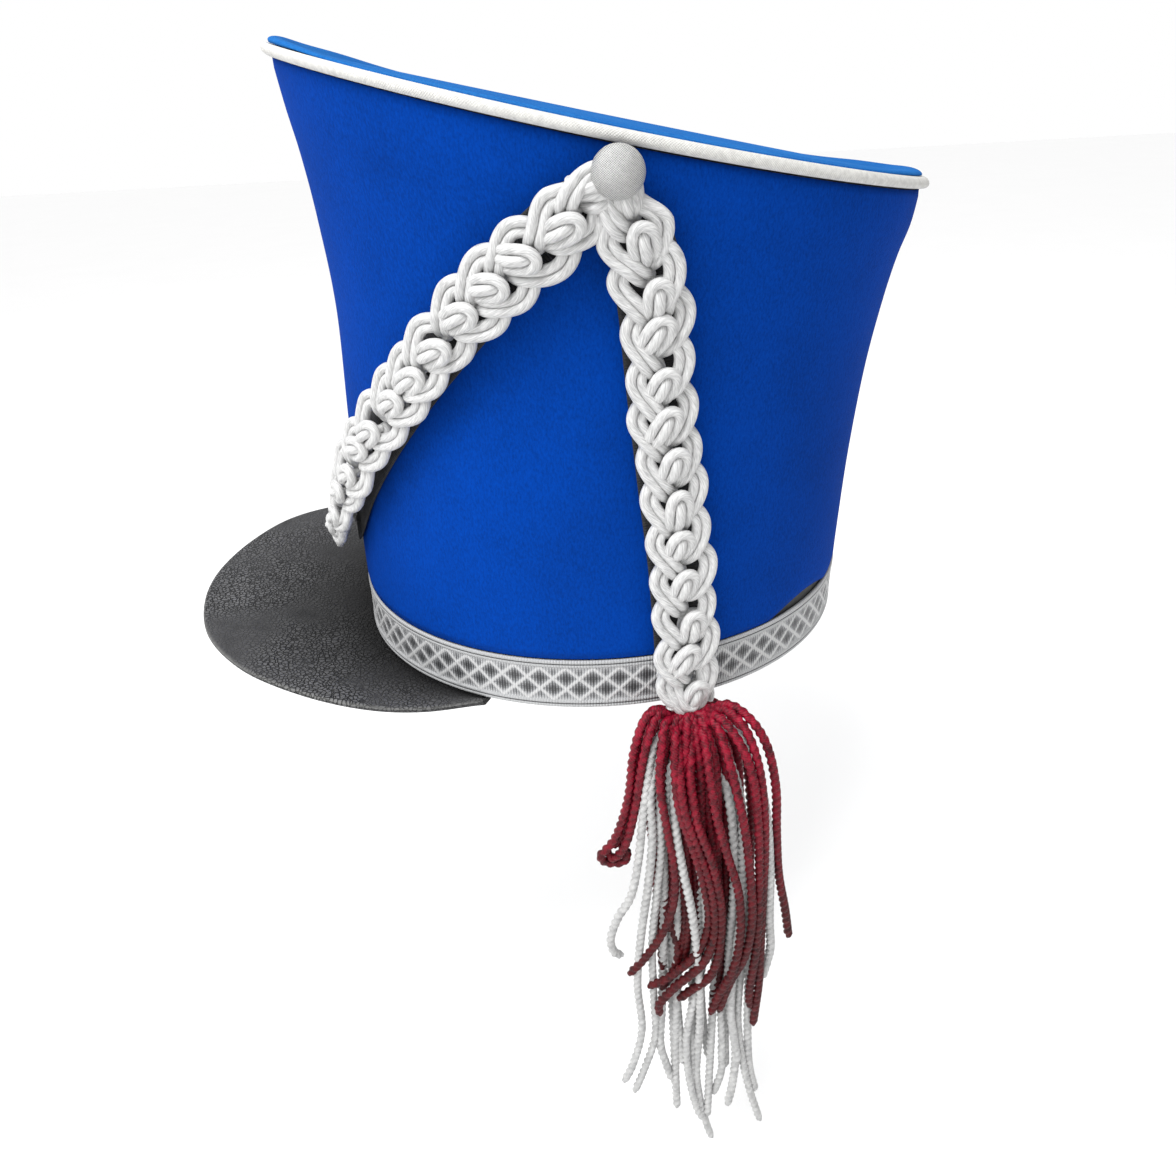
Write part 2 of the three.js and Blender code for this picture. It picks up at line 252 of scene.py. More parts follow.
class Finish(Nodes):
    """A node material that starts from the Principled shader."""

    def __init__(self, name, roughness):
        self.material = bpy.data.materials.new(name)
        self.material.use_nodes = True
        super().__init__(self.material.node_tree)
        self.shader = self.tree.nodes["Principled BSDF"]
        self.shader.inputs["Roughness"].default_value = roughness

    def place(self, which="Object"):
        return self.add("ShaderNodeTexCoord").outputs[which]

    def noise(self, where, scale, detail=4.0, rough=0.6):
        node = self.add("ShaderNodeTexNoise")
        node.inputs["Scale"].default_value = scale
        node.inputs["Detail"].default_value = detail
        node.inputs["Roughness"].default_value = rough
        self.join(where, node.inputs["Vector"])
        return node.outputs["Fac"]

    def stretch(self, where, scale):
        node = self.add("ShaderNodeMapping")
        node.inputs["Scale"].default_value = scale
        self.join(where, node.inputs["Vector"])
        return node.outputs["Vector"]

    def ramp(self, value, *stops):
        node = self.add("ShaderNodeValToRGB")
        edge = node.color_ramp.elements
        edge[0].position, edge[0].color = stops[0]
        edge[1].position, edge[1].color = stops[-1]
        for position, shade in stops[1:-1]:
            edge.new(position).color = shade
        self.join(value, node.inputs["Fac"])
        return node.outputs["Color"]

    def mix(self, share, a, b):
        node = self.add("ShaderNodeMix", data_type="RGBA")
        for socket, value in zip((node.inputs[0], node.inputs[6], node.inputs[7]), (share, a, b)):
            if isinstance(value, (int, float, tuple)):
                socket.default_value = value
            else:
                self.join(value, socket)
        return node.outputs[2]

    def base(self, value):
        self.join(value, self.shader.inputs["Base Color"])

    def bump(self, height, depth_mm, strength=1.0):
        node = self.add("ShaderNodeBump")
        node.inputs["Distance"].default_value = depth_mm * 0.001
        node.inputs["Strength"].default_value = strength
        self.join(height, node.inputs["Height"])
        last = self.shader.inputs["Normal"]
        if last.links:
            self.join(last.links[0].from_socket, node.inputs["Normal"])
        self.join(node.outputs["Normal"], last)

    def sheen(self, weight, roughness, tint):
        self.shader.inputs["Sheen Weight"].default_value = weight
        self.shader.inputs["Sheen Roughness"].default_value = roughness
        self.shader.inputs["Sheen Tint"].default_value = tint


# %% [markdown]
# ### Felt
#
# Wool felt is matt and dense. Its colour is clouded a little, where the nap lies different ways,
# and short fibres catch the light at the edges. Two noises give the clouds and the fibres.

# %% Felt finish
CLOUD = 0.32  # share of the mottle that comes from the clouds


def felt(name, deep, light):
    f = Finish(name, 0.92)
    here = f.place()
    clouds = f.noise(here, 22.0, 3.0)
    fibres = f.noise(f.stretch(here, (1.0, 1.0, 0.45)), 1500.0, 6.0, 0.7)
    both = f.math("MULTIPLY_ADD", clouds, CLOUD, f.math("MULTIPLY", fibres, 1 - CLOUD))
    f.base(f.ramp(both, (0.36, deep), (0.64, light)))
    f.bump(f.noise(here, 260.0, 4.0), 0.35, 0.35)
    f.bump(fibres, 0.16, 0.6)
    f.sheen(0.03, 0.5, colour(0, 90, 200))
    f.shader.inputs["Specular IOR Level"].default_value = 0.05
    return f.material


blue_felt = felt("blue felt", colour(0, 45, 120), colour(0, 60, 156))
# The top's felt is a lighter copy of the crown's felt: painted light, as the top is lit from above.
top_felt_painted_lit = felt("blue felt of the top, painted lit", colour(10, 78, 146), colour(36, 106, 172))
print("felt ready")

# %% [markdown]
# ## Cloth of the crown
#
# The cloth is cut in one piece, wrapped round the shell and closed down the back. A grid of
# points between its cut edge and the piping follows the crown's surface. The lower edge stops
# just above the band and lifts in a shallow crescent behind each side, where the shell shows.

# %% Crown cloth
AROUND = 288
full_turn = 2 * np.pi * np.arange(AROUND) / AROUND


def cloth_foot(angle):
    behind = np.degrees(np.arcsin(np.sin(angle)))
    away = np.abs(behind - 49.0) / 12.0
    lift = np.where(away < 1, np.cos(np.minimum(away, 1) * np.pi / 2), 0)
    return BAND_HEIGHT + 0.6 + 4.2 * lift


def crown_wall(inner, outer, foot, top, rows):
    """Closed section of a wall at every angle: up the outside, over, and down the inside."""
    share = np.linspace(0, 1, rows)[None, :]
    z = foot[:, None] + (top - foot)[:, None] * share
    angle = full_turn[:, None] + 0 * z
    soft = np.zeros((1, rows))
    soft[0, [0, -1]] = 0.35  # the cut edges are eased
    outside = crown_point(angle, z, outer - soft)
    inside = crown_point(angle, z, inner + soft)[:, ::-1]
    return np.concatenate([outside, inside], axis=1)


felt_wall = crown_wall(-1.2, 0.0, cloth_foot(full_turn), rim_height(full_turn) - 2.2, 60)
around_mm = run_lengths(crown_point(full_turn, 60.0), closed=True)
up_mm = np.concatenate([np.linspace(20, 180, 60), np.linspace(180, 20, 61)])
crown_cloth = grid_piece("crown_cloth", felt_wall, around_mm, up_mm, blue_felt)
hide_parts("crown_cover")
cloth_area = sum(p.area for p in crown_cloth.data.polygons) / 2
print("cloth", round(cloth_area, 4), "square metres")

# %% [markdown]
# ## Stiff shell
#
# The shell is black stiffened board. It shows in the crescents above the band and inside the
# hat, so it gets its own fine wall with a faintly fibrous black finish.

# %% Shell
board = Finish("black board", 0.72)
board_here = board.place()
black_fibre = board.noise(board_here, 300.0, 5.0)
board.base(board.ramp(black_fibre, (0.3, colour(34, 35, 36)), (0.7, colour(62, 63, 63))))
board.bump(board.noise(board_here, 900.0, 5.0), 0.12, 0.6)

shell_wall = crown_wall(-3.5, -1.5, 0 * full_turn, rim_height(full_turn), 40)
shell_up = np.concatenate([np.linspace(0, 180, 40), np.linspace(180, 0, 41)])
shell = grid_piece("stiff_shell", shell_wall, around_mm, shell_up, board.material)
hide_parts("crown_shell")
print("shell", len(shell.data.polygons), "faces")

# %% [markdown]
# ## Top and piping
#
# The felt of the top is drawn over a soft roll that stands a little above the piping, then dips
# to a flat. Its section is a short list of distances in from the rim, and heights.

# %% Top
LID_SECTION = [
    (-100, 0.75), (-60, 0.9), (-30, 1.1), (-18, 1.3), (-12, 1.6), (-8.6, 2.3), (-5.8, 3.1),
    (-3.2, 3.6), (-1.5, 3.6), (-0.5, 3.2), (-0.1, 2.6), (-0.3, 2.1), (-2.4, 1.9), (-5.6, 2.0),
    (-12, 0.5), (-30, -0.5), (-60, -0.7), (-100, -0.8),
]
section = smooth_rows(LID_SECTION[:12], 4)
section = np.vstack([section, LID_SECTION[12:]])
lid_grid = rim_point(full_turn[:, None], section[None, :, 0], section[None, :, 1])
puff = -2.5 * np.cos(full_turn) ** 2 + 0.9 * np.clip(-np.sin(full_turn), 0, 1) ** 6
puff += 0.18 * np.sin(full_turn * 5 + 0.7) + 0.12 * np.sin(full_turn * 13 + 2.0)
roll = np.exp(-(((section[:, 0] + 3.5) / 4.0) ** 2)) * (section[:, 1] > 2.25)
lid_grid[..., 2] += puff[:, None] * roll[None, :]

lid_uv = run_lengths(lid_grid[0])
lid = grid_piece("top_cloth", lid_grid, around_mm, lid_uv, top_felt_painted_lit, wrap_v=False)
columns = lid_grid.shape[1]
ring = np.arange(AROUND) * columns
cap(lid, [ring[::-1].tolist(), (ring + columns - 1).tolist()])
lid.data.polygons.foreach_set("use_smooth", [True] * len(lid.data.polygons))
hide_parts("top_cover")
print("top", len(lid.data.polygons), "faces")

# %% [markdown]
# The piping is a round cord covered in woven tape, laid in the groove below the roll. It is a tube
# swept round the rim, and two crossed sine waves give its tape a plain weave.

# %% Piping
PIPING_RADIUS = 1.8
PIPING_SHARE = 1.13  # its line is this much longer than the crown's round near the foot
tape = Finish("white piping tape", 0.75)
tape_uv = tape.split(tape.place("UV"))
weft = tape.math("SINE", tape.math("MULTIPLY", tape_uv[0], 2 * math.pi / 0.75))
warp = tape.math("SINE", tape.math("MULTIPLY", tape_uv[1], 2 * math.pi / 0.7))
tape_tone = tape.noise(tape.place(), 700.0, 4.0)
tape.base(tape.ramp(tape_tone, (0.3, colour(188, 187, 184)), (0.7, colour(212, 211, 207))))
tape.bump(tape.math("MULTIPLY", weft, warp), 0.12, 0.7)

piping_turn = 2 * np.pi * np.arange(14) / 14
piping_grid = rim_point(
    full_turn[:, None],
    0.6 + PIPING_RADIUS * np.cos(piping_turn)[None, :],
    0.1 + PIPING_RADIUS * np.sin(piping_turn)[None, :],
)
piping_uv = np.linspace(0, 11.3, 15)
piping_mm = around_mm * PIPING_SHARE
piping = grid_piece("rim_piping", piping_grid, piping_mm, piping_uv, tape.material)
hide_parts("top_piping")
print("piping", round(float(piping_mm[-1])), "mm long")

# %% [markdown]
# ## Galon band
#
# Galon is a woven trim: silver cords raised over a grey ribbed ground. Two ribs run along each
# edge, and between them raised threads cross as a lattice with a dark spot in each diamond. The
# relief is in the mesh, so it catches light at the rim, and the finish draws the finer threads.

# %% Galon pattern
GALON_REPEATS = 64
GALON_EDGE = 2.9
RIB = 1.45
MIDDLE = BAND_HEIGHT - 2 * GALON_EDGE


def thread_gap(u, w):
    """Distance, in repeats, to the nearest thread of either slant. w runs 0 to 1 up the band."""
    one = np.abs((u - 1.5 * w + 0.5) % 1 - 0.5)
    other = np.abs((u + 1.5 * w + 0.5) % 1 - 0.5)
    return np.minimum(one, other)


band_rows = np.array(
    [0.0, 0.3, 0.75, 1.2, 1.45, 1.7, 2.15, 2.6, 2.9, *np.linspace(3.4, 15.3, 22), 15.8, 16.1, 16.55,
     17.0, 17.25, 17.5, 17.95, 18.4, 18.7]
)
BAND_AROUND = 1024
band_turn = 2 * np.pi * np.arange(BAND_AROUND) / BAND_AROUND
band_line = run_lengths(crown_point(band_turn, 9.0), closed=True)
band_u = band_line / band_line[-1] * GALON_REPEATS


def rib(height):
    """Height of the two border ribs, measured from the nearer edge of the band."""
    edge = np.minimum(height, BAND_HEIGHT - height)
    wave = np.abs(np.sin(np.pi * edge / RIB))
    return np.where(edge < GALON_EDGE, 0.45 * np.sqrt(wave), 0.0)


uu, hh = np.meshgrid(band_u[:-1], band_rows, indexing="ij")
gap = thread_gap(uu, (hh - GALON_EDGE) / MIDDLE)
inside = np.minimum(hh, BAND_HEIGHT - hh) >= GALON_EDGE
raised = np.where(inside, 0.36 * np.clip(1 - gap / 0.13, 0, 1) ** 0.7 - 0.05, rib(hh))
face = crown_point(band_turn[:, None], hh, -0.25 + raised)
back = crown_point(band_turn[:, None] + 0 * hh[:, :2], np.array([[18.6, 0.1]]), -1.2)
band_grid = np.concatenate([face, back], axis=1)
print("galon repeat", round(band_line[-1] / GALON_REPEATS, 2), "mm")

# %% [markdown]
# The finish repeats the lattice sum in nodes, so the raised threads and their colour agree. The
# ground between the threads is ribbed, pale near the edges and dark in the middle of a diamond.

# %% Galon finish and band
galon = Finish("silver galon", 0.42)
along, height, _ = galon.split(galon.place("UV"))
level_in = galon.math("DIVIDE", galon.math("SUBTRACT", height, GALON_EDGE), MIDDLE)


def slanted(lean):
    place = galon.math("ADD", galon.math("MULTIPLY_ADD", level_in, lean, along), 100.5)
    return galon.math("ABSOLUTE", galon.math("SUBTRACT", galon.math("FRACT", place), 0.5))


to_thread = galon.math("MINIMUM", slanted(-1.5), slanted(1.5))
off_middle = galon.math("ABSOLUTE", galon.math("MULTIPLY_ADD", level_in, 2.0, -1.0))
mid_share = galon.math("SUBTRACT", 1.0, off_middle)
edge_gap = galon.math("MINIMUM", height, galon.math("SUBTRACT", BAND_HEIGHT, height))
in_middle = galon.math("GREATER_THAN", edge_gap, GALON_EDGE)
warp_rib = galon.math("SINE", galon.math("MULTIPLY", along, 2 * math.pi * 9))
rib_share = galon.math("MULTIPLY_ADD", warp_rib, 0.5, 0.5)
bead = galon.math("SINE", galon.math("MULTIPLY", height, 2 * math.pi / 0.95))
pale = galon.math("MULTIPLY", rib_share, galon.math("MULTIPLY_ADD", bead, 0.12, 0.88))
well = galon.math("SMOOTH_MIN", galon.math("MULTIPLY", mid_share, 2.6), 1.0, 0.3)
depth = galon.math("MULTIPLY", to_thread, well)
hollow = galon.ramp(
    depth, (0.06, colour(140, 141, 143)), (0.16, colour(84, 85, 87)), (0.34, colour(26, 27, 29))
)
rib_tone = galon.ramp(
    depth, (0.08, colour(192, 193, 194)), (0.18, colour(160, 161, 163)), (0.38, colour(92, 93, 95))
)
thread = galon.ramp(to_thread, (0.05, WHITE), (0.11, BLACK))
weave_tone = galon.mix(galon.math("POWER", pale, 1.6), hollow, rib_tone)
beaded = galon.math("MULTIPLY", thread, galon.math("MULTIPLY_ADD", rib_share, 0.35, 0.6))
lit_ground = galon.mix(beaded, weave_tone, colour(198, 198, 198))
border_line = galon.math("ABSOLUTE", galon.math("SUBTRACT", edge_gap, RIB))
border = galon.ramp(border_line, (0.12, colour(48, 49, 51)), (0.30, colour(178, 179, 180)))
twist = galon.math("SINE", galon.math("MULTIPLY", along, 2 * math.pi * 18))
stitch = galon.mix(galon.math("MULTIPLY_ADD", twist, 0.2, 0.2), border, colour(104, 105, 107))
galon.base(galon.mix(in_middle, stitch, lit_ground))
galon.bump(warp_rib, 0.10, 0.8)
galon.bump(galon.noise(galon.place(), 1800.0, 3.0), 0.08, 0.6)
galon.sheen(0.15, 0.3, WHITE)

band_v = np.concatenate([band_rows, [18.7, 0.0, 0.0]])
band = grid_piece("galon_band", band_grid, band_u, band_v, galon.material)
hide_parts("base_band")
print("band", len(band.data.polygons), "faces")

# %% [markdown]
# ## Visor
#
# The visor is a flat plate of board under black leatherette. It starts as a flange tucked under
# the rim, bends at the band and runs out to a rounded edge. The outer edge is a short table of
# points for one half, mirrored. The leatherette is folded round the edge, where it is pale: partly
# rubbed wear, partly a painted highlight.

# %% Visor
PLATE = 2.6
DOWN = (0, 0, -PLATE)
VISOR_EDGE = [
    (81.0, -42.8, 0.6), (87.0, -63.0, 3.2), (85.8, -83.0, 4.6), (79.0, -106.0, 6.8),
    (68.5, -129.0, 10.8), (50.4, -147.2, 13.4), (26.3, -158.3, 13.8), (0.0, -162.9, 13.3),
]
other_half = np.array(VISOR_EDGE[:-1])[::-1] * (-1, 1, 1)
visor_edge = smooth_rows(np.vstack([VISOR_EDGE, other_half]), 16)
stations = len(visor_edge)
visor_turn = np.radians(-26.0 - 128.0 * np.arange(stations) / (stations - 1))

tuck = crown_point(visor_turn, 0.0, -3.1) * (1, 1, 0) + (0, 0, -0.3)
bend = crown_point(visor_turn, 0.0, 0.7) * (1, 1, 0) + (0, 0, -0.3)
reach = np.linalg.norm(visor_edge - bend, axis=1)
outward = (visor_edge - bend) / reach[:, None]
steps = np.linspace(0, 1, 22)[1:]
brim = bend[:, None] + (visor_edge - outward * 1.3 - bend)[:, None] * steps[None, :, None]
wander = np.sin(brim[..., 0] * 0.05 + 1.0) * np.sin(brim[..., 1] * 0.043)
brim[..., 2] += 0.35 * wander * np.sin(np.pi * steps)[None, :]
fold = [(0.75, -0.35), (1.15, -0.95), (1.2, -1.6), (0.8, -2.25), (0.0, -PLATE)]
lip = np.stack([brim[:, -1] + outward * o + (0, 0, z) for o, z in fold], 1)
under = (brim[:, :-1] + DOWN)[:, ::-1]
visor_grid = np.concatenate(
    [tuck[:, None], bend[:, None], brim, lip, under, (bend + DOWN)[:, None],
     (tuck + DOWN)[:, None]],
    axis=1,
)
print("visor reaches", round(float(reach.max())), "mm past the band")

# %% [markdown]
# Leatherette has a fine crackle of creases, which a cell pattern with wavy borders gives; the
# creases are darkened with painted shade. It comes and goes in patches, is painted darker toward
# the band as shade, and is pale along the folded edge, partly rubbed wear and partly a painted
# highlight.

# %% Leatherette finish and visor mesh
leather = Finish("black leatherette", 0.46)
leather.shader.inputs["Specular IOR Level"].default_value = 0.12
hide = leather.place()
wavy = leather.add("ShaderNodeVectorMath", operation="MULTIPLY_ADD")
wobble = leather.add("ShaderNodeTexNoise")
wobble.inputs["Scale"].default_value = 220.0
leather.join(hide, wobble.inputs["Vector"])
leather.join(wobble.outputs["Color"], wavy.inputs[0])
wavy.inputs[1].default_value = (0.0022, 0.0022, 0.0022)
leather.join(hide, wavy.inputs[2])
grain = leather.add("ShaderNodeTexVoronoi", feature="DISTANCE_TO_EDGE")
grain.inputs["Scale"].default_value = 640.0
leather.join(wavy.outputs[0], grain.inputs["Vector"])
crease = leather.ramp(grain.outputs["Distance"], (0.0, BLACK), (0.16, WHITE))
patches = leather.noise(hide, 26.0, 3.0)
rough_patch = leather.ramp(patches, (0.40, (0.25, 0.25, 0.25, 1)), (0.58, WHITE))
from_band = leather.split(leather.place("UV"))[1]
# Painted shade: the hide is darkened toward the band, where shade lies near the crown.
inner = leather.ramp(from_band, (0.08, WHITE), (0.85, BLACK))
smooth_hide = leather.ramp(patches, (0.3, colour(50, 50, 51)), (0.7, colour(102, 102, 103)))
hide_with_band_shade = leather.mix(leather.math("MULTIPLY", inner, 0.92), smooth_hide, colour(12, 12, 13))
# Painted shade: the crease lines are darkened to near black in patches, where shade falls in them.
lines = leather.math("MULTIPLY", rough_patch, leather.math("SUBTRACT", 1.0, crease))
hide_with_crease_shade = leather.mix(lines, hide_with_band_shade, colour(8, 8, 9))
# The folded edge is painted pale: partly rubbed wear, partly a painted highlight where the edge
# catches the light.
rubbed_and_lit_edge = leather.ramp(from_band, (0.972, BLACK), (0.988, WHITE))
wear_and_edge_highlight = leather.math("MULTIPLY", rubbed_and_lit_edge, leather.noise(hide, 500.0, 5.0))
leather.base(leather.mix(wear_and_edge_highlight, hide_with_crease_shade, colour(128, 128, 126)))
gloss = leather.math("MULTIPLY_ADD", patches, -0.2, 0.55)
leather.join(gloss, leather.shader.inputs["Roughness"])
leather.bump(leather.math("MULTIPLY", crease, rough_patch), 0.5, 1.0)
leather.bump(leather.noise(hide, 900.0, 4.0), 0.2, 0.5)

strips = visor_grid.shape[1]
visor_v = np.interp(
    np.arange(strips + 1),
    [0, 1, 22, 24, 25, 26, strips],
    [0.0, 0.05, 0.97, 0.99, 0.9, 0.5, 0.0],
)
visor = grid_piece(
    "visor_leather", visor_grid, run_lengths(visor_edge), visor_v, leather.material, wrap_u=False
)
ends = []
for first in (0, (stations - 1) * strips):
    last = first + strips - 1
    ends += [[first + j, first + j + 1, last - j - 1, last - j] for j in range(strips // 2 - 1)]
cap(visor, ends)
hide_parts("visor")
print("visor", len(visor.data.polygons), "faces")

# %% [markdown]
# ## Sweeping cords
#
# Braids and tassel are cord. A cord is a small section carried along a line without twisting
# more than it must. The section may be round, for satin cord, or two plies laid together that
# turn as they go, for rope. All the cords of a piece go in one mesh.

# %% Cord helper
def frames_along(line):
    """Two directions across a line at each point, carried along with the least turning."""
    ahead = np.gradient(line, axis=0)
    ahead /= np.linalg.norm(ahead, axis=1)[:, None]
    side = np.cross(ahead[0], (0.3, 0.2, 1.0))
    side /= np.linalg.norm(side)
    sides = []
    for step in ahead:
        side = side - step * (side @ step)
        side /= np.linalg.norm(side)
        sides.append(side.copy())
    sides = np.array(sides)
    return sides, np.cross(ahead, sides)


def evenly(line, spacing):
    """The same line with points about `spacing` millimetres apart."""
    line = np.asarray(line, float)
    length = run_lengths(line)
    places = np.linspace(0, length[-1], max(int(length[-1] / spacing) + 1, 3))
    return np.stack([np.interp(places, length, line[:, i]) for i in range(3)], -1)


def cord_mesh(name, cords, sides, material):
    """cords is a list of (line, radius at each point and side, or one radius)."""
    points, faces, uvs, start = [], [], [], 0
    turn = 2 * np.pi * np.arange(sides) / sides
    for line, radius in cords:
        one, two = frames_along(line)
        radius = np.broadcast_to(radius, (len(line), sides))
        loop = (
            line[:, None]
            + radius[..., None] * np.cos(turn)[None, :, None] * one[:, None]
            + radius[..., None] * np.sin(turn)[None, :, None] * two[:, None]
        )
        points.append(loop.reshape(-1, 3))
        quads, cu, cv = grid_faces(len(line), sides, False, True, start)
        faces += quads.tolist()
        length = run_lengths(line)
        uvs.append(np.stack([length[cu], cv / sides], -1).reshape(-1, 2))
        for end, flip in ((0, 1), (len(line) - 1, -1)):
            faces.append((start + end * sides + np.arange(sides))[::-flip].tolist())
            uvs.append(np.full((sides, 2), (length[end], 0.5)))
        start += len(line) * sides
    return new_piece(name, np.vstack(points), faces, np.vstack(uvs), material)


# %% [markdown]
# ## Looped cord braid
#
# The braid is worked like crochet. Pairs of satin cord run down each edge in round lobes that
# turn in to the middle, and single loops are drawn up through them there, each one over the foot
# of the last. One repeat is a short list of places: across, along and up from the cloth. Small
# seeded differences keep the loops from looking machined.

# %% One repeat of the braid
REPEAT = 13.6
CORD = 1.58

# (across, along in repeats, up): lobes down the left and right edges, and the middle tongue's
# outer cord and its filling, which are (down the tongue in mm, across it in mm, up)
LEFT_LOBE = [
    (-1.4, -0.14, 2.6), (-2.6, -0.26, 3.6), (-4.6, -0.24, 5.0), (-7.2, -0.06, 5.8),
    (-8.1, 0.15, 6.0), (-7.2, 0.38, 6.4), (-5.2, 0.62, 7.0), (-3.4, 0.82, 7.0),
    (-1.8, 1.00, 5.6), (-0.9, 1.06, 3.6),
]
RIGHT_LOBE = [
    (1.4, -0.46, 2.6), (2.8, -0.60, 3.8), (5.0, -0.54, 5.2), (7.3, -0.34, 6.0), (8.1, -0.11, 6.2),
    (7.3, 0.14, 6.6), (5.4, 0.36, 7.0), (3.4, 0.54, 6.8), (1.4, 0.68, 5.2), (0.6, 0.70, 3.4),
]
TONGUE = [
    (14.0, -1.6, 2.2), (12.4, -2.4, 4.8), (9.0, -2.9, 7.2), (5.6, -3.0, 8.3), (2.8, -2.7, 8.8),
    (0.7, -1.5, 9.0), (0.0, 0.2, 9.0), (0.6, 1.7, 8.8), (2.6, 2.8, 8.4), (5.6, 3.0, 7.8),
    (9.0, 2.8, 6.6), (12.0, 2.2, 4.6), (14.0, 1.2, 2.4),
]
FILLING = [
    (1.8, 0.2, 5.0), (2.8, 0.1, 8.2), (5.2, 0.0, 9.3), (8.6, 0.0, 8.5), (11.6, -0.2, 6.0),
    (14.0, -0.4, 2.6),
]
TONGUE_HEAD = (2.1, -0.02)
TONGUE_LEAN = (-0.30, 0.954)


def paired(row):
    """Two cords side by side along one line."""
    fine = smooth_rows(row, 5)
    step = np.gradient(fine[:, :2], axis=0)
    step /= np.linalg.norm(step, axis=1)[:, None] + 1e-9
    for offset in (-CORD * 0.93, CORD * 0.93):
        twin = fine.copy()
        twin[:, 0] += -step[:, 1] * offset
        twin[:, 1] += step[:, 0] * offset
        yield twin


def strands(length, seed):
    """Lines of (across, along, up) for all the cords of a braid of some length."""
    pick = random.Random(seed)
    count = int(math.ceil(length / REPEAT)) + 1
    lines = []
    for lobe in (LEFT_LOBE, RIGHT_LOBE):
        row = []
        for k in range(-1, count + 1):
            wide, slip = pick.uniform(0.86, 1.08), pick.uniform(-0.10, 0.10)
            lift = pick.uniform(-0.6, 0.9)
            row += [(x * wide, (s + k + slip) * REPEAT, n + lift) for x, s, n in lobe]
        lines += paired(row)
    for k in range(-1, count + 1):
        grow, slip = pick.uniform(0.85, 1.25), pick.uniform(-0.12, 0.12)
        lean = pick.uniform(-0.34, 0.24)
        down = np.array(TONGUE_LEAN) + (lean, 0)
        down /= np.linalg.norm(down)
        head = np.array(TONGUE_HEAD) + (pick.uniform(-0.9, 0.8), (k + slip) * REPEAT)
        for part in (TONGUE, FILLING):
            row = []
            for t, w, n in part:
                spot = head + down * t * grow + np.array([down[1], -down[0]]) * w
                row.append((*spot, n))
            lines.append(smooth_rows(row, 5))
    return lines


print("one repeat is", REPEAT, "mm")

# %% [markdown]
# The braid is laid on its route: the middle line on the crown, the direction out from the cloth
# and the direction across. A strand's three numbers then give its place on the hat.

# %% Lay a braid on its route
SWAG = [
    (4.6, 167.5), (8.6, 159.5), (13.4, 152.5), (18.7, 145.0), (26.5, 131.5), (35.2, 116.0),
    (45.0, 97.0), (57.0, 74.0), (69.0, 52.0), (80.0, 43.0), (90.0, 41.0),
]
DROP = [
    (0.9, 165.5), (2.6, 158.0), (4.3, 149.5), (5.7, 136.0), (7.5, 112.0), (10.0, 86.0),
    (12.7, 58.5), (14.2, 36.0), (15.0, 20.0), (15.4, 8.0), (15.5, 1.0), (15.5, -2.6),
]
BUTTON_AT = (0.0, 173.6)


def route_of(rows, sign):
    """Fine route over the cloth, started under the button. rows hold degrees and heights."""
    turn = [(math.radians(sign * a), z) for a, z in [BUTTON_AT, *rows]]
    fine = smooth_rows(turn, 24)
    angle, z = fine[:, 0], fine[:, 1]
    centre = crown_point(angle, z)
    round_way = crown_point(angle + 0.01, z) - crown_point(angle - 0.01, z)
    rise = crown_point(angle, z + 4) - crown_point(angle, np.maximum(z - 4, -8))
    out = np.cross(round_way, rise)
    out /= np.linalg.norm(out, axis=1)[:, None]
    return centre, out


def lay(centre, out, line, trim=(0.0, 0.0), squeeze=None, bulge=0.0):
    """Put a strand's (across, along, up) numbers on the route, and cut it to the route."""
    length = run_lengths(centre)
    along = np.gradient(centre, axis=0)
    along /= np.linalg.norm(along, axis=1)[:, None]
    across = np.cross(out, along)
    keep = (line[:, 1] >= trim[0]) & (line[:, 1] <= length[-1] - trim[1])
    line = line[keep]
    if len(line) < 4:
        return None
    place = line[:, 1]

    def at(table):
        return np.stack([np.interp(place, length, table[:, i]) for i in range(3)], -1)

    wide = np.ones(len(line)) if squeeze is None else squeeze(place, length[-1])
    full = 1 - 0.45 * np.clip(1 - place / 9.0, 0, 1)
    full = full + bulge * np.sin(np.pi * place / length[-1]) ** 4
    return (
        at(centre)
        + at(across) * (line[:, 0] * wide)[:, None]
        + at(out) * (0.4 + line[:, 2] * full)[:, None]
    )


# %% [markdown]
# Satin cord is thousands of bright threads lying along it. Noise drawn out along the cord gives
# the threads, and a little sheen gives their soft shine.

# %% Satin finish
satin = Finish("white satin cord", 0.36)
run, girth, _ = satin.split(satin.place("UV"))
turned = satin.math("ADD", girth, satin.math("MULTIPLY", run, 0.035))
fibre = satin.add("ShaderNodeTexNoise", noise_dimensions="2D")
fibre.inputs["Scale"].default_value = 1.0
fibre.inputs["Detail"].default_value = 4.0
fibre_at = satin.add("ShaderNodeCombineXYZ")
satin.join(satin.math("MULTIPLY", run, 0.35), fibre_at.inputs[0])
satin.join(satin.math("MULTIPLY", turned, 26.0), fibre_at.inputs[1])
satin.join(fibre_at.outputs[0], fibre.inputs["Vector"])
threads = fibre.outputs["Fac"]
satin.base(satin.ramp(threads, (0.3, colour(168, 168, 168)), (0.7, colour(214, 214, 213))))
satin.bump(threads, 0.18, 0.7)
satin.sheen(0.2, 0.3, WHITE)
satin.shader.inputs["Specular IOR Level"].default_value = 0.5
print("satin ready")

# %% [markdown]
# The side braid hangs straight down from the button, narrow at both ends. The last cord turns
# round in a wide curl that closes the end, and the tassel comes out below it.

# %% Side braid and its end
drop_centre, drop_out = route_of(DROP, 1)


def drop_width(place, total):
    start = np.clip(0.35 + place / 22.0, 0.35, 1)
    end = np.clip(0.62 + (total - place) / 22.0, 0.62, 1)
    return start * end


def laid_cords(centre, out, seed, trim, width, bulge=0.0):
    whole = strands(run_lengths(centre)[-1], seed)
    laid = [lay(centre, out, strand, trim, width, bulge) for strand in whole]
    return [(evenly(line, 0.8), CORD) for line in laid if line is not None]


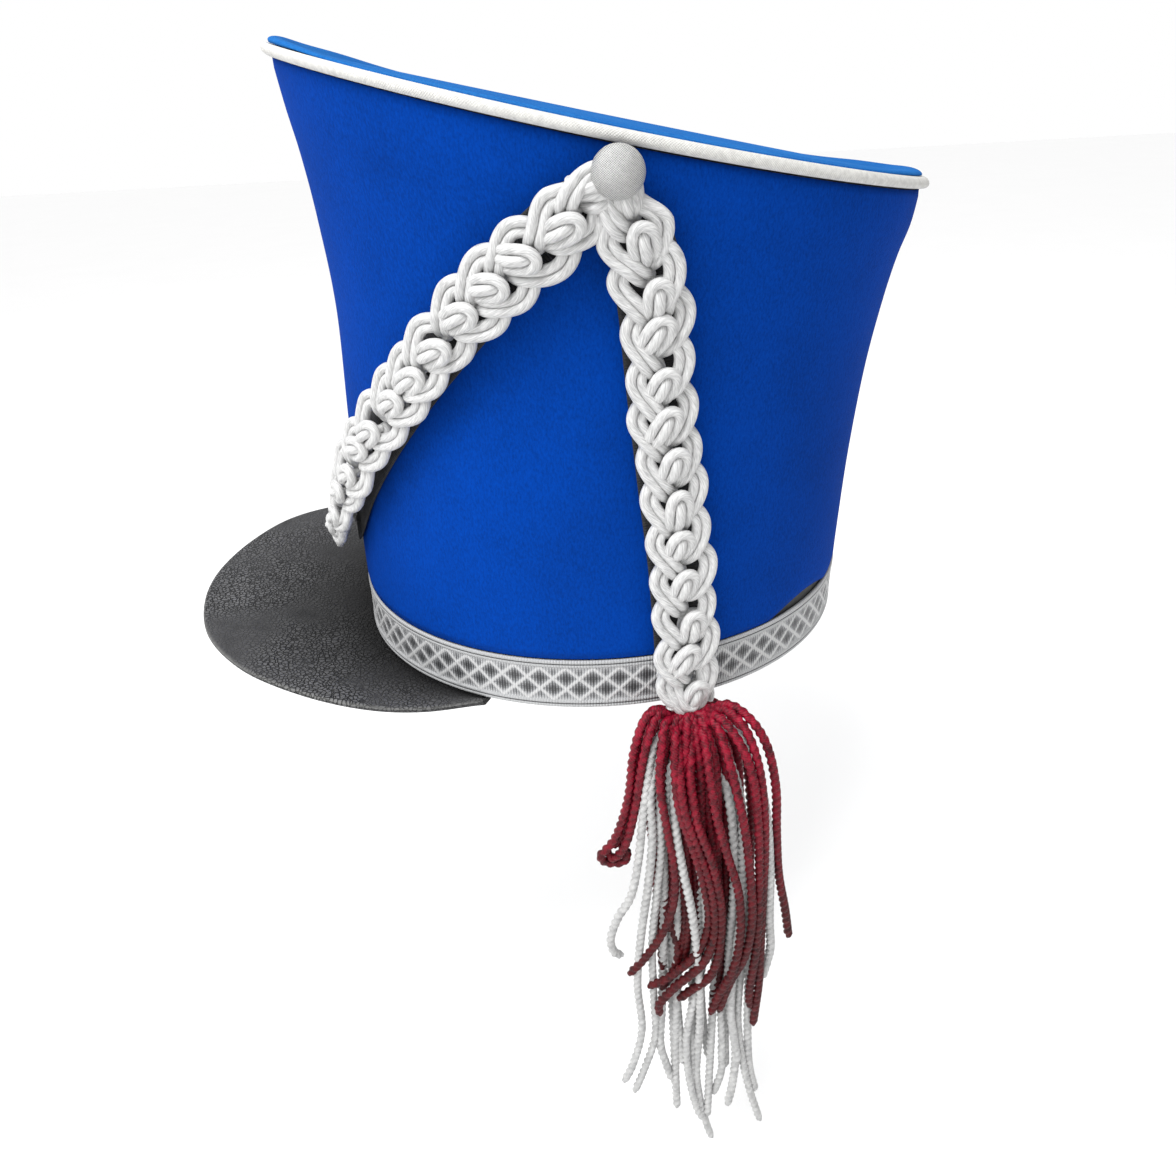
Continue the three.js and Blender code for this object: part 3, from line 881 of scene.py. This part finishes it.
drop_cords = laid_cords(drop_centre, drop_out, 11, (2.5, 4.0), drop_width)
total = run_lengths(drop_centre)[-1]
end_turn = [
    (-6.6, total - 17, 5.2), (-6.2, total - 11, 6.2), (-4.6, total - 5.5, 7.2),
    (-1.8, total - 2.2, 7.6), (1.8, total - 2.2, 7.6), (4.6, total - 5.5, 7.2),
    (6.2, total - 11, 6.2), (6.6, total - 17, 5.2),
]
for inset in (0.0, 2.7):
    curl = np.array(end_turn, float)
    curl[:, 0] *= 1 - inset / 7.5
    curl[:, 1] -= inset
    curl[:, 2] += inset * 0.25
    curl = lay(drop_centre, drop_out, smooth_rows(curl, 6))
    drop_cords.append((evenly(curl, 0.75), CORD))
side_braid = cord_mesh("side_loop_braid", drop_cords, 10, satin.material)
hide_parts("side_braid")
print("side braid", round(float(total)), "mm,", len(side_braid.data.polygons), "faces")

# %% [markdown]
# The front braid is fixed under both buttons and sags across the front. Its route is written for
# the left half and mirrored, and its loops stand a little fuller at the lowest place.

# %% Front braid
left_centre, left_out = route_of(SWAG, -1)
right_centre = left_centre[:-1][::-1] * (-1, 1, 1)
right_out = left_out[:-1][::-1] * (-1, 1, 1)
swag_centre = np.vstack([left_centre, right_centre])
swag_out = np.vstack([left_out, right_out])


def swag_width(place, whole):
    return np.clip(0.35 + np.minimum(place, whole - place) / 22.0, 0.35, 1)


swag_cords = laid_cords(swag_centre, swag_out, 5, (2.5, 2.5), swag_width, 0.25)
front_braid = cord_mesh("front_loop_braid", swag_cords, 10, satin.material)
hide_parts("front_braid")
swag_mm = round(float(run_lengths(swag_centre)[-1]))
print("front braid", swag_mm, "mm,", len(front_braid.data.polygons), "faces")

# %% [markdown]
# ## Black tape behind the braids, partly painted shade
#
# Each braid is caught down on a strip of black tape. The dark tape also stands in for painted
# shade:
# it shows as a dark line along the braid's edge and through the gaps between its loops, where shade
# falls.

# %% Backing tape
# The near-black tape is partly real backing and partly painted shade beside and between the braid's
# loops.
tape_and_shade_finish = Finish("black tape", 0.85)
run = tape_and_shade_finish.split(tape_and_shade_finish.place("UV"))[0]
ribbing = tape_and_shade_finish.math("SINE", tape_and_shade_finish.math("MULTIPLY", run, 2 * math.pi / 0.9))
dust = tape_and_shade_finish.noise(tape_and_shade_finish.place(), 800.0)
tape_and_shade_finish.base(tape_and_shade_finish.ramp(dust, (0.3, colour(18, 18, 20)), (0.7, colour(46, 46, 48))))
tape_and_shade_finish.bump(ribbing, 0.15, 0.7)

# (share of the half-width, height above the cloth)
TAPE_SECTION = [
    (-1, 0.9), (-0.9, 0.7), (0.9, 0.7), (1, 0.9), (1, 1.4), (0.9, 1.55), (-0.9, 1.55), (-1, 1.4),
]


def tape_and_shade_strip(name, centre, out, half, start, stop, node):
    length = run_lengths(centre)
    keep = (length >= start) & (length <= length[-1] - stop)
    along = np.gradient(centre, axis=0)
    along /= np.linalg.norm(along, axis=1)[:, None]
    across = np.cross(along, out)[keep]
    middle, lift, run = centre[keep], out[keep], length[keep]
    width = np.minimum(half, 3.5 + (run - start) * 0.55)[:, None]
    grid = np.stack([middle + across * w * width + lift * n for w, n in TAPE_SECTION], 1)
    v = np.linspace(0, 4 * half, len(TAPE_SECTION) + 1)
    piece = grid_piece(name, grid, run, v, tape_and_shade_finish.material, wrap_u=False)
    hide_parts(node)


tape_and_shade_strip("side_tape_and_shade", drop_centre, drop_out, 9.4, 6.0, 22.0, "side_backing")
tape_and_shade_strip("front_tape_and_shade", swag_centre, swag_out, 9.0, 6.0, 6.0, "front_backing")
print("tapes laid")

# %% [markdown]
# ## Buttons
#
# A dress button is a dome covered in woven metal thread. The dome is turned from a short
# outline; the weave is a fine grid of bumps laid over it, and a plain rim closes its back.

# %% Buttons
lame = Finish("woven metal thread", 0.34)
lame_at = lame.split(lame.place())
thread_y = lame.math("SINE", lame.math("MULTIPLY", lame_at[1], 2 * math.pi / 0.00062))
thread_z = lame.math("SINE", lame.math("MULTIPLY", lame_at[2], 2 * math.pi / 0.00055))
net = lame.math("MULTIPLY", thread_y, thread_z)
uneven = lame.noise(lame.place(), 1500.0, 4.0)
weave = lame.math("MULTIPLY_ADD", net, 0.4, lame.math("MULTIPLY_ADD", uneven, 0.5, 0.25))
lame.base(lame.ramp(weave, (0.2, colour(112, 113, 114)), (0.75, colour(196, 196, 194))))
lame.bump(weave, 0.22, 0.8)
lame.shader.inputs["Metallic"].default_value = 0.25

BUTTON_OUTLINE = [
    (0.0, 1.2), (2.0, 1.2), (2.0, 5.9), (4.2, 6.0), (6.1, 6.0), (6.65, 6.4), (6.8, 7.1),
    (6.75, 7.9), (6.4, 9.2), (5.6, 10.5), (4.3, 11.6), (2.6, 12.3), (1.0, 12.55), (0.0, 12.6),
]


def dress_button(name, side, node):
    outline = smooth_rows(BUTTON_OUTLINE[3:], 4)
    outline = np.vstack([BUTTON_OUTLINE[:3], outline])
    turn = 2 * np.pi * np.arange(64) / 64
    seat = crown_point(*BUTTON_AT)
    r, h = outline[:, 0][None, :], outline[:, 1][None, :]
    r = np.maximum(r, 0.02)
    grid = np.stack(
        [side * (seat[0] + h + 0 * turn[:, None]), seat[1] + r * np.cos(turn)[:, None] * side,
         seat[2] + r * np.sin(turn)[:, None]],
        -1,
    )
    length = run_lengths(outline)
    piece = grid_piece(name, grid, np.linspace(0, 42, 65), length, lame.material, wrap_v=False)
    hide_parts(node)


dress_button("button_left", 1, "left_button")
dress_button("button_right", -1, "right_button")
print("buttons on")

# %% [markdown]
# ## Tassel
#
# The tassel is a bunch of rope-like cords, each two plies laid together. Burgundy cords spring
# out over the end of the braid and fall; white ones hang among them and reach lower. The cords
# that give the tassel its outline are placed one by one, as a few points each, and a seeded
# bunch fills the inside.

# %% Twisted cord finishes
def ply_finish(name, low, high, tint):
    """low and high are the dark and light colours of the tassel's foot and of its head; the head's
    are lighter with painted light from above.
    """
    f = Finish(name, 0.5)
    run, girth, _ = f.split(f.place("UV"))
    wound = f.math("ADD", f.math("MULTIPLY", girth, 6.0), f.math("MULTIPLY", run, 1.1))
    hair = f.math("SINE", f.math("MULTIPLY", wound, 2 * math.pi))
    tone = f.math("MULTIPLY_ADD", hair, 0.06, f.noise(f.place(), 420.0, 4.0))
    height = f.split(f.place())[2]
    # Painted light: going up, the colour moves from the foot's pair to the head's lighter pair, as
    # light falls on the head from above.
    rise = f.ramp(f.math("MULTIPLY_ADD", height, 12.0, 1.0), (0.0, BLACK), (1.0, WHITE))
    shades = [f.ramp(tone, (0.3, dark), (0.68, light)) for dark, light in (low, high)]
    f.base(f.mix(rise, *shades))
    f.bump(hair, 0.1, 0.5)
    f.sheen(0.04, 0.4, tint)
    f.shader.inputs["Specular IOR Level"].default_value = 0.25
    return f.material


# The head's pair of colours is painted lighter and redder, as lit from above.
burgundy_ply = ply_finish(
    "burgundy twisted cord",
    (colour(36, 2, 5), colour(86, 6, 13)),
    (colour(58, 1, 13), colour(150, 8, 42)),
    colour(200, 60, 80),
)
white_ply = ply_finish(
    "white twisted cord",
    (colour(158, 158, 158), colour(196, 196, 195)),
    (colour(158, 158, 158), colour(196, 196, 195)),
    WHITE,
)
print("ply finishes ready")

# %% [markdown]
# Two plies laid together give a section like a figure of eight that turns as it goes along. The
# section's radius is a function of the angle and the length, so no ply is modelled by itself.

# %% Twisted cord shape
ROPE = 1.65
LAY = 5.8


def rope(points, radius=ROPE, seed=0):
    """Line and section radii of a two-ply cord through some points, tapered at its cut end."""
    line = evenly(smooth_rows(points, 10), 0.72)
    length = run_lengths(line)
    sides = 2 * np.pi * np.arange(10) / 10
    turn = 2 * np.pi * length[:, None] / LAY + seed
    ply = 0.58 + 0.42 * np.abs(np.cos(sides[None, :] - turn)) ** 0.9
    end = np.clip((length[-1] - length) / 1.6, 0.35, 1) ** 0.5
    return line, radius * ply * end[:, None]


def bundle(rows, seed):
    """Ropes through listed rows of (x, y, z) points."""
    pick = random.Random(seed)
    return [rope(row, ROPE * pick.uniform(0.95, 1.05), pick.uniform(0, 6)) for row in rows]


# %% [markdown]
# Each placed cord is one row of (x, y, z) points in millimetres, from where it leaves the braid to
# its cut end. The rows go from the side nearest the visor to the back.

# %% Placed cords
BURGUNDY_ROWS = [
    [(92, 22, -4), (94, 17, 3), (97, 12, 1), (99, 8, -10), (100, 5.5, -28), (100, 1, -44),
     (100, -3.5, -51), (100, -5, -53), (99, -3, -57), (99, 3, -57), (99, 5, -52)],
    [(92, 22, -2), (95, 17, 2), (99, 13.5, -3), (101, 10.5, -14), (101, 8, -30), (101, 5, -44),
     (100, 2, -52), (99, -1, -55), (98, -3, -52)],
    [(91, 22, -4), (93, 15, 1), (96, 10.5, -4), (98, 8.5, -16), (98, 6.5, -32), (98, 3.5, -45),
     (97, 0, -52)],
    [(92, 23, -5), (97, 19, 0), (102, 17, -6), (104, 16, -20), (104, 18, -38), (104, 20, -55),
     (103, 20, -72), (102, 16, -88), (101, 9, -102), (100, 3, -111)],
    [(92, 24, -6), (99, 22, -3), (104, 21, -12), (106, 22, -28), (106, 26, -44), (105, 30, -62),
     (104, 32, -82), (103, 28, -98), (101, 18, -112), (100, 10, -118)],
    [(92, 25, -6), (99, 23, -6), (105, 22.5, -16), (107, 24, -30), (106, 29, -48), (106, 33, -66),
     (105, 34, -86), (104, 30, -102), (102, 20, -116), (101, 14, -126), (100, 14, -133)],
    [(92, 27, -6), (100, 27, -8), (105, 26, -18), (107, 28, -34), (107, 33, -52), (106, 36, -72),
     (105, 36, -92), (104, 33, -108), (102, 26, -118), (101, 21, -124)],
    [(92, 29, -5), (100, 31, -4), (106, 32, -14), (108, 34, -30), (108, 38, -48), (107, 42, -66),
     (106, 43, -86), (105, 41, -104), (103, 36, -120), (102, 33, -131)],
    [(92, 30, -4), (99, 35, 0), (105, 38, -8), (108, 41, -22), (108, 44, -40), (107, 46, -60),
     (106, 47, -80), (105, 45, -98), (103, 40, -114), (102, 36, -130)],
    [(92, 31, -3), (97, 38, 4), (102, 44, 0), (105, 48, -12), (106, 50, -28), (105, 51, -48),
     (104, 51, -70), (103, 51, -92), (102, 51, -114), (101, 50, -132), (100, 49.5, -141)],
    [(92, 31, -2), (96, 39, 5), (100, 46, 2), (102, 51.5, -8), (103, 54.5, -24), (102, 55.5, -44),
     (101, 57, -64), (100, 60, -82), (99, 62, -97)],
    [(92, 30, -4), (98, 36, 2), (104, 42, -4), (107, 46, -16), (107, 48, -34), (106, 49, -54),
     (105, 49.5, -76), (104, 49, -98), (102, 47.5, -120), (101, 48, -130)],
    [(90, 28, -6), (94, 30, -10), (98, 31, -22), (100, 33, -42), (100, 36, -66), (99, 38, -92),
     (98, 37, -116), (98, 34, -128)],
    [(90, 26, -6), (95, 24, -12), (99, 22, -26), (100, 22, -46), (99, 24, -70), (98, 24, -94),
     (98, 20, -112), (98, 15, -122)],
    [(88, 24, -4), (86, 18, -4), (88, 13, -14), (91, 12, -34), (92, 14, -58), (93, 16, -84),
     (93, 18, -106)],
    [(88, 30, -4), (86, 37, -2), (87, 44, -12), (90, 48, -32), (91, 49, -58), (92, 48, -84),
     (92, 46, -108), (92, 45, -120)],
    [(87, 27, -5), (84, 27, -10), (84, 26, -26), (86, 26, -50), (88, 28, -78), (90, 30, -104),
     (90, 30, -122)],
]
# Lower ends, and the ones that show between the burgundy
WHITE_ROWS = [
    [(92, 21, -6), (98, 15, -8), (101, 12.5, -18), (102, 10, -36), (102, 8, -54), (102, 5, -70),
     (102, 0, -80), (102, -3, -90), (101, -2, -98), (100, 1, -101)],
    [(92, 22, -8), (98, 16, -12), (102, 13, -26), (102, 13, -46), (101, 11, -68), (100, 8, -92),
     (99, 6, -118), (99, 7, -142), (100, 3, -160), (100, -1, -170)],
    [(92, 22, -8), (98, 17, -16), (101, 16, -34), (101, 16, -52), (100, 14, -74), (99, 12, -98),
     (98, 12, -126), (98, 12, -148), (99, 7, -166), (99, 3, -178)],
    [(91, 23, -8), (97, 18, -22), (99, 17, -48), (98, 17, -76), (97, 16, -106), (97, 15, -134),
     (98, 14, -152), (98, 16, -164), (98, 18, -173)],
    [(92, 24, -8), (100, 21, -20), (103, 21, -38), (104, 23, -56), (104, 26, -76), (103, 28, -98),
     (102, 29, -120), (101, 29, -140), (100, 28, -152)],
    [(92, 25, -8), (99, 25, -28), (101, 28, -50), (102, 31, -74), (101, 31, -100), (100, 27, -126),
     (99, 24, -150), (99, 25, -172), (99, 28, -190), (99, 31, -197)],
    [(91, 26, -8), (96, 27, -30), (98, 29, -60), (98, 30, -92), (97, 30, -124), (98, 29, -150),
     (98, 28, -170), (98, 29.5, -188), (98, 32, -202), (98, 34, -210)],
    [(91, 28, -8), (96, 31, -30), (98, 34, -60), (98, 36, -92), (97, 37, -124), (98, 38, -150),
     (98, 38, -168), (98, 36, -178), (97, 34.5, -184)],
    [(92, 31, -6), (99, 39, -14), (103, 43, -30), (103, 44, -52), (102, 44, -76), (101, 42, -104),
     (100, 41, -132), (100, 43, -156), (100, 42, -174), (100, 40, -187)],
    [(92, 31, -4), (98, 41, -4), (103, 46, -8), (105, 49, -20), (104, 52, -40), (103, 53.5, -62),
     (102, 54, -84), (101, 55, -98), (100, 54.5, -106), (100, 52.5, -116)],
    [(91, 31, -8), (96, 40, -26), (98, 45, -54), (98, 46, -84), (98, 45, -112), (98, 44, -140),
     (99, 46, -162), (99, 49, -180), (99, 52, -193), (99, 53.5, -199)],
    [(91, 31, -8), (96, 42, -30), (97, 47, -62), (97, 48, -94), (97, 48, -124), (98, 48, -150),
     (98, 49, -168), (98, 51.5, -182)],
    [(90, 25, -10), (92, 24, -40), (93, 23, -76), (94, 22, -112), (95, 21, -142), (96, 22, -160)],
    [(90, 29, -10), (92, 33, -40), (93, 37, -76), (94, 39, -112), (95, 40, -142), (96, 38, -162)],
    [(91, 30, -8), (99, 38, -24), (102, 41, -48), (102, 41, -74), (101, 40, -96), (100, 40, -122),
     (100, 42, -146), (101, 44, -160)],
    [(90, 27, -10), (88, 27, -40), (90, 28, -76), (92, 30, -112), (94, 31, -142), (95, 33, -166)],
]


# %% [markdown]
# The placed cords alone would leave the bunch thin. The rest spring from the same place in an even
# fan with seeded lengths, and all cords of one colour make one mesh.

# %% Filling cords and the tassel
FAN = [(-6, 9, 12), (-16, 11.5, 16), (-34, 10.5, 17), (-60, 9, 16), (-85, 8, 16)]


def filling_rows(count, seed, low, high, depth=0):
    """Cords that spring from the braid's end all round its outer side and fill the bunch."""
    pick = random.Random(seed)
    rows = []
    for i in range(count):
        turn = math.radians(-100 + 200 * (i + pick.uniform(0.2, 0.8)) / count)
        out_x, out_y = math.cos(turn), math.sin(turn)
        reach = pick.uniform(0.55, 0.95)
        end = pick.uniform(low, high)
        row = [(91, 27, -6 - depth)]
        for z, x, y in ((-depth, 4, 6), *FAN):
            if z > end + 8 and (z < -15 or not depth or z == -depth):
                side = 28 + y * out_y * reach + 0.02 * -z
                row.append((92 + x * out_x * reach, side, z + pick.uniform(-1, 1)))
        row.append((98 + pick.uniform(-2, 2), 30 + 14 * out_y * reach + pick.uniform(-4, 2), end))
        rows.append(row)
    return rows


BURGUNDY_ROWS += filling_rows(18, 8, -118, -70)
WHITE_ROWS += filling_rows(8, 9, -196, -150, 12)
burgundy = cord_mesh("burgundy_cords", bundle(BURGUNDY_ROWS, 3), 10, burgundy_ply)
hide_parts("tassel_burgundy")
white = cord_mesh("white_cords", bundle(WHITE_ROWS, 4), 10, white_ply)
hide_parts("tassel_white")
print("tassel", len(burgundy.data.polygons), "and", len(white.data.polygons), "faces")

# %% [markdown]
# ## Studio
#
# The hat is held up, so the floor lies well below the tassel. A pale floor and a nearly white
# room give soft light from all sides; one large lamp on the visor's side and a smaller one
# behind it give the cords their form.

# %% Studio
FLOOR_Z = -0.26
bpy.context.scene.view_settings.view_transform = "Standard"
floor_finish = Finish("pale floor", 0.9)
pale = floor_finish.noise(floor_finish.place(), 6.0)
floor_finish.base(
    floor_finish.ramp(pale, (0.0, (0.93, 0.93, 0.93, 1)), (1.0, (0.96, 0.96, 0.96, 1)))
)
floor_mesh = bpy.data.meshes.new("floor")
corners = [(x, y, FLOOR_Z) for x, y in ((-8, -8), (8, -8), (8, 8), (-8, 8))]
floor_mesh.from_pydata(corners, [], [(0, 1, 2, 3)])
floor_mesh.materials.append(floor_finish.material)
floor = bpy.data.objects.new("floor", floor_mesh)
bpy.context.scene.collection.objects.link(floor)

world = bpy.data.worlds.new("room")
bpy.context.scene.world = world
world.use_nodes = True
room = Nodes(world.node_tree)
facing = room.split(room.add("ShaderNodeTexCoord").outputs["Generated"])
overhead = room.math("MULTIPLY_ADD", room.math("MAXIMUM", facing[2], 0.0), 0.8, 0.5)
side_light = room.math("MULTIPLY_ADD", facing[1], -0.32, 1.0)
seen = room.add("ShaderNodeMix")
room.join(room.add("ShaderNodeLightPath").outputs["Is Camera Ray"], seen.inputs[0])
room.join(room.math("MULTIPLY", overhead, side_light), seen.inputs[2])
seen.inputs[3].default_value = 1.0
room.join(seen.outputs[0], world.node_tree.nodes["Background"].inputs["Color"])


def lamp(name, at, toward, size, watts):
    light = bpy.data.lights.new(name, "AREA")
    light.size = size
    light.energy = watts
    stand = bpy.data.objects.new(name, light)
    stand.location = at
    aim = Vector(toward) - Vector(at)
    stand.rotation_euler = aim.to_track_quat("-Z", "Y").to_euler()
    bpy.context.scene.collection.objects.link(stand)


lamp("window", (0.6, -0.9, 0.8), (0, 0, 0.05), 0.8, 7)
lamp("sky", (0.5, -0.2, 1.1), (0.05, 0, 0), 0.35, 9)
